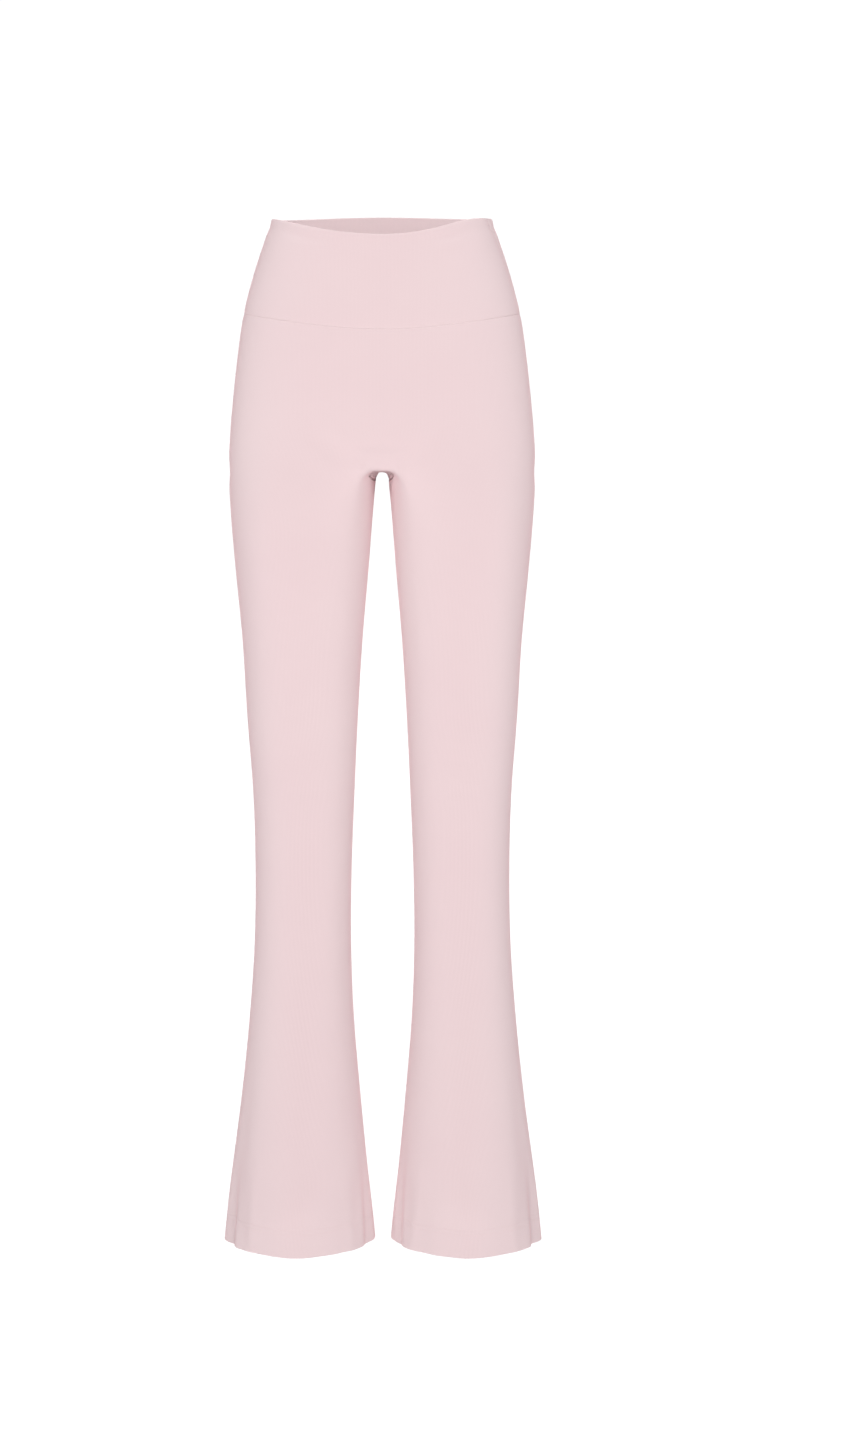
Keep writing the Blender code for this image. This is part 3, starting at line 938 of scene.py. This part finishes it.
def interlock_knit(cloth):
    """Nylon and elastane interlock knit, brushed soft. Both its faces show fine upright
    wales and no purl rows, so it looks matte and even, with a deeper pink bloom where
    it turns away, because its fuzz is dyed too. Real wales are 0.7 mm apart, too fine
    for the render, so they are drawn twice as wide."""
    if "interlock_knit" in bpy.data.materials:
        return bpy.data.materials["interlock_knit"]
    material, tree, shader = shader_of("interlock_knit")
    weave = add_node(tree, "ShaderNodeUVMap", uv_map=WEAVE)
    place = add_node(tree, "ShaderNodeSeparateXYZ", {0: weave.outputs["UV"]})
    waves = []
    for axis, pitch in (("X", cloth.wale), ("Y", cloth.course)):
        wave = add_node(tree, "ShaderNodeMath",
                        {0: place.outputs[axis], 1: math.pi / pitch}, operation="MULTIPLY")
        for step in ("SINE", "ABSOLUTE"):
            wave = add_node(tree, "ShaderNodeMath", {0: wave.outputs[0]}, operation=step)
        waves.append(wave.outputs[0])
    knit = add_node(tree, "ShaderNodeMath", {0: waves[1], 1: COURSE_SHARE, 2: 1 - COURSE_SHARE},
                    operation="MULTIPLY_ADD")
    knit = add_node(tree, "ShaderNodeMath", {0: knit.outputs[0], 1: waves[0]},
                    operation="MULTIPLY")
    where = add_node(tree, "ShaderNodeTexCoord")
    clouds = add_node(tree, "ShaderNodeTexNoise", {
        "Vector": where.outputs["Object"], "Scale": DYE_PATCHES, "Detail": 2.0,
    })
    fuzz = add_node(tree, "ShaderNodeTexNoise", {
        "Vector": where.outputs["Object"], "Scale": FUZZ, "Detail": 2.0,
    })
    tint = add_node(tree, "ShaderNodeMix", {
        "Factor": clouds.outputs["Fac"],
        "A": (*cloth.colour, 1.0),
        "B": (*cloth.colour_deep, 1.0),
    }, data_type="RGBA")
    # The knit's colour carries painted shade in the hollows between its wales and rows of loops,
    # and a faint painted highlight on their tops; its wales and fuzz are also raised.
    shade = add_node(tree, "ShaderNodeMapRange", {
        "Value": knit.outputs[0], "From Min": 0.0, "From Max": 1.0,
        "To Min": WALE_PAINTED_SHADE[0], "To Max": WALE_PAINTED_SHADE[1],
    })
    colour = add_node(tree, "ShaderNodeVectorMath", {
        0: tint.outputs["Result"], "Scale": shade.outputs["Result"],
    }, operation="SCALE")
    height = add_node(tree, "ShaderNodeMath", {
        0: fuzz.outputs["Fac"], 1: FUZZ_SHARE, 2: knit.outputs[0],
    }, operation="MULTIPLY_ADD")
    relief = add_node(tree, "ShaderNodeBump", {
        "Height": height.outputs[0], "Strength": 0.35, "Distance": WALE_RELIEF,
    })
    rough = add_node(tree, "ShaderNodeMapRange", {
        "Value": fuzz.outputs["Fac"], "From Min": 0.3, "From Max": 0.7,
        "To Min": 0.82, "To Max": 0.92,
    })
    tree.links.new(colour.outputs["Vector"], shader.inputs["Base Color"])
    tree.links.new(rough.outputs["Result"], shader.inputs["Roughness"])
    tree.links.new(relief.outputs["Normal"], shader.inputs["Normal"])
    shader.inputs["Diffuse Roughness"].default_value = 1.0
    shader.inputs["Specular IOR Level"].default_value = 0.25
    shader.inputs["Sheen Weight"].default_value = 0.5
    shader.inputs["Sheen Roughness"].default_value = 0.35
    shader.inputs["Sheen Tint"].default_value = (*cloth.bloom, 1.0)
    return material


def polyester_thread(cloth):
    """Textured polyester thread, dyed to match. It is smoother than the knit, so each
    stitch has a small soft glint along its top."""
    if "polyester_thread" in bpy.data.materials:
        return bpy.data.materials["polyester_thread"]
    material, tree, shader = shader_of("polyester_thread")
    where = add_node(tree, "ShaderNodeTexCoord")
    strands = add_node(tree, "ShaderNodeTexNoise", {
        "Vector": where.outputs["Object"], "Scale": STRANDS, "Detail": 1.0,
    })
    tint = add_node(tree, "ShaderNodeMix", {
        "Factor": strands.outputs["Fac"],
        "A": (*cloth.thread, 1.0),
        "B": (*cloth.colour_deep, 1.0),
    }, data_type="RGBA")
    tree.links.new(tint.outputs["Result"], shader.inputs["Base Color"])
    shader.inputs["Roughness"].default_value = 0.55
    return material


class PantsCloth(bpy.types.PropertyGroup):
    """Sizes and colours of the cloth."""

    body_wall: FloatProperty(
        name="Body cloth", description="Thickness of the single cloth of the legs and body",
        default=1.3 * MM, unit="LENGTH")
    band_wall: FloatProperty(
        name="Waistband", description="Thickness of the waistband's two layers",
        default=2.3 * MM, unit="LENGTH")
    wale: FloatProperty(
        name="Wale", description="Distance between the knit's upright ribs as drawn",
        default=1.4 * MM, unit="LENGTH")
    course: FloatProperty(
        name="Course", description="Distance between the knit's rows of loops as drawn",
        default=1.1 * MM, unit="LENGTH")
    stitch_pitch: FloatProperty(
        name="Stitch pitch", description="Distance from one hem stitch to the next",
        default=3.0 * MM, unit="LENGTH")
    stitch_length: FloatProperty(
        name="Stitch length", description="Length of the thread that shows in one stitch",
        default=2.6 * MM, unit="LENGTH")
    thread_width: FloatProperty(
        name="Thread", description="Width of the sewing thread",
        default=0.4 * MM, unit="LENGTH")
    colour: FloatVectorProperty(
        name="Knit colour", description="Colour of the knit's raised wales",
        default=linear("#f3e3e4"), subtype="COLOR", size=3)
    colour_deep: FloatVectorProperty(
        name="Deep colour", description="Colour of the knit where the dye is a little deeper",
        default=linear("#f1dfe1"), subtype="COLOR", size=3)
    bloom: FloatVectorProperty(
        name="Bloom", description="Colour of the knit's fuzz where the cloth turns away",
        default=linear("#e2a3aa"), subtype="COLOR", size=3)
    thread: FloatVectorProperty(
        name="Thread colour", description="Colour of the sewing thread",
        default=linear("#f1dbdc"), subtype="COLOR", size=3)


class PantsStage(bpy.types.PropertyGroup):
    """The studio round the pants."""

    distance: FloatProperty(
        name="Camera distance", description="How far the camera stands in front",
        default=4.0, unit="LENGTH")
    height: FloatProperty(
        name="Camera height", description="Height of the camera from the waist",
        default=-0.19, unit="LENGTH")
    across: FloatProperty(
        name="Camera across", description="How far the camera stands to the wearer's left",
        default=0.051, unit="LENGTH")
    pitch: FloatProperty(
        name="Camera tilt", description="How far the camera looks down",
        default=math.radians(4.787), subtype="ANGLE")
    lens: FloatProperty(
        name="Lens", description="Focal length over a 36 mm tall picture",
        default=95.57, unit="CAMERA")
    light: FloatProperty(
        name="Light", description="Strength of the studio's light",
        default=0.35)
    ceiling: FloatProperty(
        name="Ceiling", description="How much brighter the room is above than at the waist",
        default=0.3)
    bounce: FloatProperty(
        name="Bounce", description="Strength of the light that the white floor throws up",
        default=2.2)
    bounce_colour: FloatVectorProperty(
        name="Bounce colour", description="Colour of the light that comes up between the legs",
        default=linear("#fff0f2"), subtype="COLOR", size=3)
    key: FloatProperty(
        name="Key light", description="Power of the wide soft light in front",
        default=270.0, unit="POWER")
    floor: FloatProperty(
        name="Floor", description="Height of the floor from the waist",
        default=-1.13, unit="LENGTH")
    floor_colour: FloatVectorProperty(
        name="Floor colour", description="Colour of the floor",
        default=linear("#ffffff"), subtype="COLOR", size=3)


def surface_mesh():
    """The drawn cloth, which all pieces are cut from."""
    surface = bpy.data.meshes.get(SURFACE)
    if surface is None:
        raise RuntimeError("There is no cloth to cut: run the Draw cloth operator first")
    return surface


def sew_sheet(context, name, wall):
    """Sews one piece."""
    cloth = context.scene.pants_cloth
    piece = finish_piece(name, sew_piece(surface_mesh(), name, wall), interlock_knit(cloth))


class PANTS_OT_draw_cloth(bpy.types.Operator):
    """Draws the whole outer surface of the cloth, smooth, with its creases"""

    bl_idname = "pants.draw_cloth"
    bl_label = "Draw cloth"

    def execute(self, context):
        surface = draw_cells()
        cage = bpy.data.meshes.new("cloth_cage")
        surface.to_mesh(cage)
        surface.free()
        # The cage moves out by as much as smoothing draws its points in.
        wanted = rows_of(cage.vertices, "co")
        first = smooth_copy(cage)
        reached = rows_of(first.vertices, "co")[:len(wanted)]
        cage.vertices.foreach_set("co", (2 * wanted - reached).ravel())
        cage.update()
        bpy.data.meshes.remove(first)
        cloth = smooth_copy(cage)
        bpy.data.meshes.remove(cage)
        cloth.name = SURFACE
        points = rows_of(cloth.vertices, "co")
        normals = rows_of(cloth.vertex_normals, "vector")
        points += normals * crease_lift(points, normals)[:, None] + square_crotch(points)
        cloth.vertices.foreach_set("co", points.ravel())
        cloth.update()
        return {"FINISHED"}


class PANTS_OT_waistband(bpy.types.Operator):
    """Cuts and folds the waistband's front and back halves"""

    bl_idname = "pants.waistband"
    bl_label = "Waistband"

    def execute(self, context):
        wall = context.scene.pants_cloth.band_wall
        sew_sheet(context, "waistband_front", wall)
        sew_sheet(context, "waistband_back", wall)
        return {"FINISHED"}


class PANTS_OT_front(bpy.types.Operator):
    """Cuts the front, both legs in one piece, and turns up its hems"""

    bl_idname = "pants.front"
    bl_label = "Front"

    def execute(self, context):
        wall = context.scene.pants_cloth.body_wall
        sew_sheet(context, "front", wall)
        return {"FINISHED"}


class PANTS_OT_backs(bpy.types.Operator):
    """Cuts the left and right backs and turns up their hems"""

    bl_idname = "pants.backs"
    bl_label = "Backs"

    def execute(self, context):
        wall = context.scene.pants_cloth.body_wall
        for name in ("back_left", "back_right"):
            sew_sheet(context, name, wall)
        return {"FINISHED"}


class PANTS_OT_gusset(bpy.types.Operator):
    """Cuts the crotch gusset"""

    bl_idname = "pants.gusset"
    bl_label = "Gusset"

    def execute(self, context):
        wall = context.scene.pants_cloth.body_wall
        sew_sheet(context, "gusset", wall)
        return {"FINISHED"}


def stitch_tree():
    """Geometry Nodes that lay one stitch after another along a line of points."""
    tree = bpy.data.node_groups.new("stitch_row", "GeometryNodeTree")
    face = tree.interface
    face.new_socket("Line", in_out="INPUT", socket_type="NodeSocketGeometry")
    for name in ("Pitch", "Length", "Width"):
        face.new_socket(name, in_out="INPUT", socket_type="NodeSocketFloat")
    face.new_socket("Thread", in_out="INPUT", socket_type="NodeSocketMaterial")
    face.new_socket("Stitches", in_out="OUTPUT", socket_type="NodeSocketGeometry")
    given = tree.nodes.new("NodeGroupInput")
    result = tree.nodes.new("NodeGroupOutput")
    curve = add_node(tree, "GeometryNodeMeshToCurve", {"Mesh": given.outputs["Line"]})
    spots = add_node(tree, "GeometryNodeResampleCurve",
                     {"Curve": curve.outputs["Curve"], "Length": given.outputs["Pitch"]},
                     mode="LENGTH")
    bead = add_node(tree, "GeometryNodeMeshUVSphere", {"Segments": 6, "Rings": 5, "Radius": 0.5})
    size = add_node(tree, "ShaderNodeCombineXYZ", {
        "X": given.outputs["Length"], "Y": given.outputs["Width"], "Z": given.outputs["Width"],
    })
    lie = add_node(tree, "GeometryNodeInputNamedAttribute", {"Name": "lie"},
                   data_type="FLOAT_VECTOR")
    tangent = add_node(tree, "GeometryNodeInputTangent")
    turn = add_node(tree, "FunctionNodeAlignRotationToVector",
                    {"Vector": tangent.outputs["Tangent"]}, axis="X")
    turn = add_node(tree, "FunctionNodeAlignRotationToVector", {
        "Rotation": turn.outputs["Rotation"], "Vector": lie.outputs["Attribute"],
    }, axis="Z", pivot_axis="X")
    placed = add_node(tree, "GeometryNodeInstanceOnPoints", {
        "Points": spots.outputs["Curve"], "Instance": bead.outputs["Mesh"],
        "Rotation": turn.outputs["Rotation"], "Scale": size.outputs["Vector"],
    })
    real = add_node(tree, "GeometryNodeRealizeInstances",
                    {"Geometry": placed.outputs["Instances"]})
    soft = add_node(tree, "GeometryNodeSetShadeSmooth", {"Geometry": real.outputs["Geometry"]})
    painted = add_node(tree, "GeometryNodeSetMaterial", {
        "Geometry": soft.outputs["Geometry"], "Material": given.outputs["Thread"],
    })
    tree.links.new(painted.outputs["Geometry"], result.inputs["Stitches"])
    return tree


def outer_skin(names, sign):
    """A search tree over the finished cloth of one leg."""
    points, faces = [], []
    for name in names:
        data = bpy.data.objects[name + "_cloth"].data
        start = len(points)
        points.extend(vert.co.copy() for vert in data.vertices)
        for face in data.polygons:
            if face.center.x * sign > 0 and face.center.z < THIGH_TOP:
                faces.append([start + index for index in face.vertices])
    return BVHTree.FromPolygons(points, faces)


def hem_line(sign, above):
    """Points and outward directions round a leg's cloth at a height above the hem."""
    skin = outer_skin(("front", "back_left" if sign > 0 else "back_right"), sign)
    height = HEM + above * MM
    middle = Vector((sign * HEM_MIDDLE[0] * MM, HEM_MIDDLE[1] * MM, height))
    line = []
    for step in range(HEM_LINE_STEPS):
        angle = 2 * math.pi * step / HEM_LINE_STEPS
        way = Vector((math.cos(angle), math.sin(angle), 0))
        spot, normal = middle, None
        # The last layer that is met on the way out is the cloth's outer face.
        for _ in range(CLOTH_LAYERS):
            hit, found, _, _ = skin.ray_cast(spot + way * RAY_START, way)
            if hit is None:
                break
            spot, normal = hit, found
        if normal is None:
            raise RuntimeError("A hem stitch found no cloth")
        line.append((spot, normal if normal.dot(way) > 0 else -normal))
    return line


def lay_stitches(name, lines, cloth, thread):
    """One mesh of stitches from lines of points and directions, each line closed."""
    data = bpy.data.meshes.new(name)
    points, edges, lies = [], [], []
    for line in lines:
        first = len(points)
        for index, (point, normal) in enumerate(line):
            points.append(point)
            lies.append(normal)
            edges.append((first + index, first + (index + 1) % len(line)))
    data.from_pydata(points, edges, [])
    lie = data.attributes.new("lie", "FLOAT_VECTOR", "POINT")
    lie.data.foreach_set("vector", [value for normal in lies for value in normal])
    thing = bpy.data.objects.new(name, data)
    bpy.context.scene.collection.objects.link(thing)
    sewing = thing.modifiers.new("stitches", "NODES")
    tree = bpy.data.node_groups.get("stitch_row") or stitch_tree()
    sewing.node_group = tree
    values = {
        "Pitch": cloth.stitch_pitch, "Length": cloth.stitch_length,
        "Width": cloth.thread_width, "Thread": thread,
    }
    for item in tree.interface.items_tree:
        if item.in_out == "INPUT" and item.name in values:
            sewing[item.identifier] = values[item.name]
    graph = bpy.context.evaluated_depsgraph_get()
    stitches = bpy.data.meshes.new_from_object(thing.evaluated_get(graph))
    thing.modifiers.clear()
    thing.data = stitches
    bpy.data.meshes.remove(data)
    stitches.name = name
    return thing


class PANTS_OT_stitches(bpy.types.Operator):
    """Sews the two rows of stitches round each hem"""

    bl_idname = "pants.stitches"
    bl_label = "Stitches"

    def execute(self, context):
        cloth = context.scene.pants_cloth
        thread = polyester_thread(cloth)
        for name, sign in (("hem_stitches_left", 1), ("hem_stitches_right", -1)):
            lines = [hem_line(sign, above) for above in HEM_ROWS]
            piece = lay_stitches(name, lines, cloth, thread)
            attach(piece, "root")
        return {"FINISHED"}


def lay_floor(scene, stage):
    """A floor as white as the paper of a catalogue page, which throws no shade of its
    own on the cloth: the room lights the cloth from below too."""
    data = bpy.data.meshes.new("floor")
    corners = [(x * FLOOR_HALF, y * FLOOR_HALF, stage.floor)
               for x, y in ((-1, -1), (1, -1), (1, 1), (-1, 1))]
    data.from_pydata(corners, [], [(0, 1, 2, 3)])
    floor = bpy.data.objects.new("floor", data)
    scene.collection.objects.link(floor)
    material, tree, shader = shader_of("white_floor")
    white = add_node(tree, "ShaderNodeEmission",
                     {"Color": (*stage.floor_colour, 1.0), "Strength": FLOOR_WHITE})
    clear = add_node(tree, "ShaderNodeBsdfTransparent")
    path = add_node(tree, "ShaderNodeLightPath")
    both = add_node(tree, "ShaderNodeMixShader", {
        0: path.outputs["Is Camera Ray"], 1: clear.outputs[0], 2: white.outputs[0],
    })
    tree.links.new(both.outputs[0], tree.nodes["Material Output"].inputs["Surface"])
    tree.nodes.remove(shader)
    data.materials.append(material)


def light_room(scene, stage):
    """The room as seen from the pants, by the angle round them from the front: walls of
    uneven brightness, a little brighter above, and light thrown up from the floor. The
    camera itself sees plain white."""
    world = bpy.data.worlds.new("studio")
    world.use_nodes = True
    scene.world = world
    tree = world.node_tree
    way = add_node(tree, "ShaderNodeTexCoord")
    parts = add_node(tree, "ShaderNodeSeparateXYZ", {0: way.outputs["Generated"]})
    aside = add_node(tree, "ShaderNodeMath", {0: parts.outputs["X"]}, operation="ABSOLUTE")
    ahead = add_node(tree, "ShaderNodeMath", {0: parts.outputs["Y"], 1: -1.0},
                     operation="MULTIPLY")
    angle = add_node(tree, "ShaderNodeMath", {0: aside.outputs[0], 1: ahead.outputs[0]},
                     operation="ARCTAN2")
    turn = add_node(tree, "ShaderNodeMath", {0: angle.outputs[0], 1: math.pi},
                    operation="DIVIDE")
    walls = add_node(tree, "ShaderNodeValToRGB", {"Fac": turn.outputs[0]})
    above = add_node(tree, "ShaderNodeMath",
                     {0: parts.outputs["Z"], 1: stage.light * stage.ceiling, 2: stage.light},
                     operation="MULTIPLY_ADD")
    below = add_node(tree, "ShaderNodeMath", {0: 0.0, 1: parts.outputs["Z"]},
                     operation="SUBTRACT", use_clamp=True)
    bounce = add_node(tree, "ShaderNodeMath", {0: below.outputs[0], 1: BOUNCE_NARROWNESS},
                      operation="POWER")
    bounce = add_node(tree, "ShaderNodeMath", {0: bounce.outputs[0], 1: stage.bounce},
                      operation="MULTIPLY")
    bounce = add_node(tree, "ShaderNodeVectorMath",
                      {0: stage.bounce_colour, "Scale": bounce.outputs[0]}, operation="SCALE")
    sky = add_node(tree, "ShaderNodeVectorMath", {
        0: walls.outputs["Color"], 1: above.outputs[0], 2: bounce.outputs[0],
    }, operation="MULTIPLY_ADD")
    ramp = walls.color_ramp
    ramp.interpolation = "B_SPLINE"
    for index, (degrees, level, blush) in enumerate(STUDIO_WALLS):
        mark = ramp.elements[index] if index < 2 else ramp.elements.new(degrees / 180)
        mark.position = degrees / 180
        blue = level * (1 - BLUE_SHARE_OF_BLUSH * blush)
        mark.color = (level, level * (1 - blush), blue, 1.0)
    room = tree.nodes["Background"]
    room.inputs["Strength"].default_value = 1.0
    tree.links.new(sky.outputs[0], room.inputs["Color"])
    seen = add_node(tree, "ShaderNodeBackground",
                    {"Color": (1.0, 1.0, 1.0, 1.0), "Strength": PAPER_WHITE})
    path = add_node(tree, "ShaderNodeLightPath")
    both = add_node(tree, "ShaderNodeMixShader", {
        0: path.outputs["Is Camera Ray"], 1: room.outputs[0], 2: seen.outputs[0],
    })
    tree.links.new(both.outputs[0], tree.nodes["World Output"].inputs["Surface"])


def hang_lamps(scene, stage):
    """A broad soft light before the pants and a narrower one behind them, both just
    above the waist, so that they also shine on the inside of the waistband."""
    for name, side, width, share in LAMPS:
        lamp = bpy.data.lights.new(name, "AREA")
        lamp.shape = "RECTANGLE"
        lamp.size, lamp.size_y = width, LAMP_TALL
        lamp.energy = stage.key * share
        light = bpy.data.objects.new(name, lamp)
        scene.collection.objects.link(light)
        light.visible_camera = False
        light.location = (0.0, side * LAMP_AWAY, LAMP_HEIGHT)
        aim = Vector((0.0, -side * LAMP_AWAY, -LAMP_DROP))
        light.rotation_euler = aim.to_track_quat("-Z", "Y").to_euler()


def place_camera(scene, stage):
    """The camera, on the photograph's side of the pants and at its angle."""
    camera = bpy.data.cameras.new("camera")
    camera.sensor_fit = "VERTICAL"
    camera.sensor_height = SENSOR
    camera.sensor_width = SENSOR
    camera.lens = stage.lens
    eye = bpy.data.objects.new("camera", camera)
    scene.collection.objects.link(eye)
    eye.location = (stage.across, -stage.distance, stage.height)
    eye.rotation_euler = (math.pi / 2 - stage.pitch, 0.0, 0.0)
    scene.camera = eye


class PANTS_OT_stage(bpy.types.Operator):
    """Sets the pale floor, the soft light and the camera"""

    bl_idname = "pants.stage"
    bl_label = "Stage"

    def execute(self, context):
        scene = context.scene
        for place in (lay_floor, light_room, hang_lamps, place_camera):
            place(scene, scene.pants_stage)
        scene.view_settings.view_transform = "Standard"
        return {"FINISHED"}


class PANTS_PT_panel(bpy.types.Panel):
    """Lists the pieces of the pants"""

    bl_idname = "PANTS_PT_panel"
    bl_label = "Flared yoga pants"
    bl_space_type = "VIEW_3D"
    bl_region_type = "UI"
    bl_category = "Pants"

    def draw(self, context):
        layout = self.layout
        for group in (context.scene.pants_cloth, context.scene.pants_stage):
            for name in group.bl_rna.properties.keys():
                if name not in ("rna_type", "name"):
                    layout.prop(group, name)
        for operator in OPERATORS:
            layout.operator(operator.bl_idname)


OPERATORS = (
    PANTS_OT_draw_cloth, PANTS_OT_waistband, PANTS_OT_front, PANTS_OT_backs,
    PANTS_OT_gusset, PANTS_OT_stitches, PANTS_OT_stage,
)
CLASSES = (PantsCloth, PantsStage, *OPERATORS, PANTS_PT_panel)


def register():
    for item in CLASSES:
        bpy.utils.register_class(item)
    bpy.types.Scene.pants_cloth = PointerProperty(type=PantsCloth)
    bpy.types.Scene.pants_stage = PointerProperty(type=PantsStage)


def unregister():
    del bpy.types.Scene.pants_stage
    del bpy.types.Scene.pants_cloth
    for item in reversed(CLASSES):
        bpy.utils.unregister_class(item)


def main():
    register()
    bpy.ops.pants.draw_cloth()
    bpy.ops.pants.waistband()
    bpy.ops.pants.front()
    bpy.ops.pants.backs()
    bpy.ops.pants.gusset()
    bpy.ops.pants.stitches()
    bpy.ops.pants.stage()
    bpy.data.meshes.remove(surface_mesh())


if __name__ == "__main__":
    main()
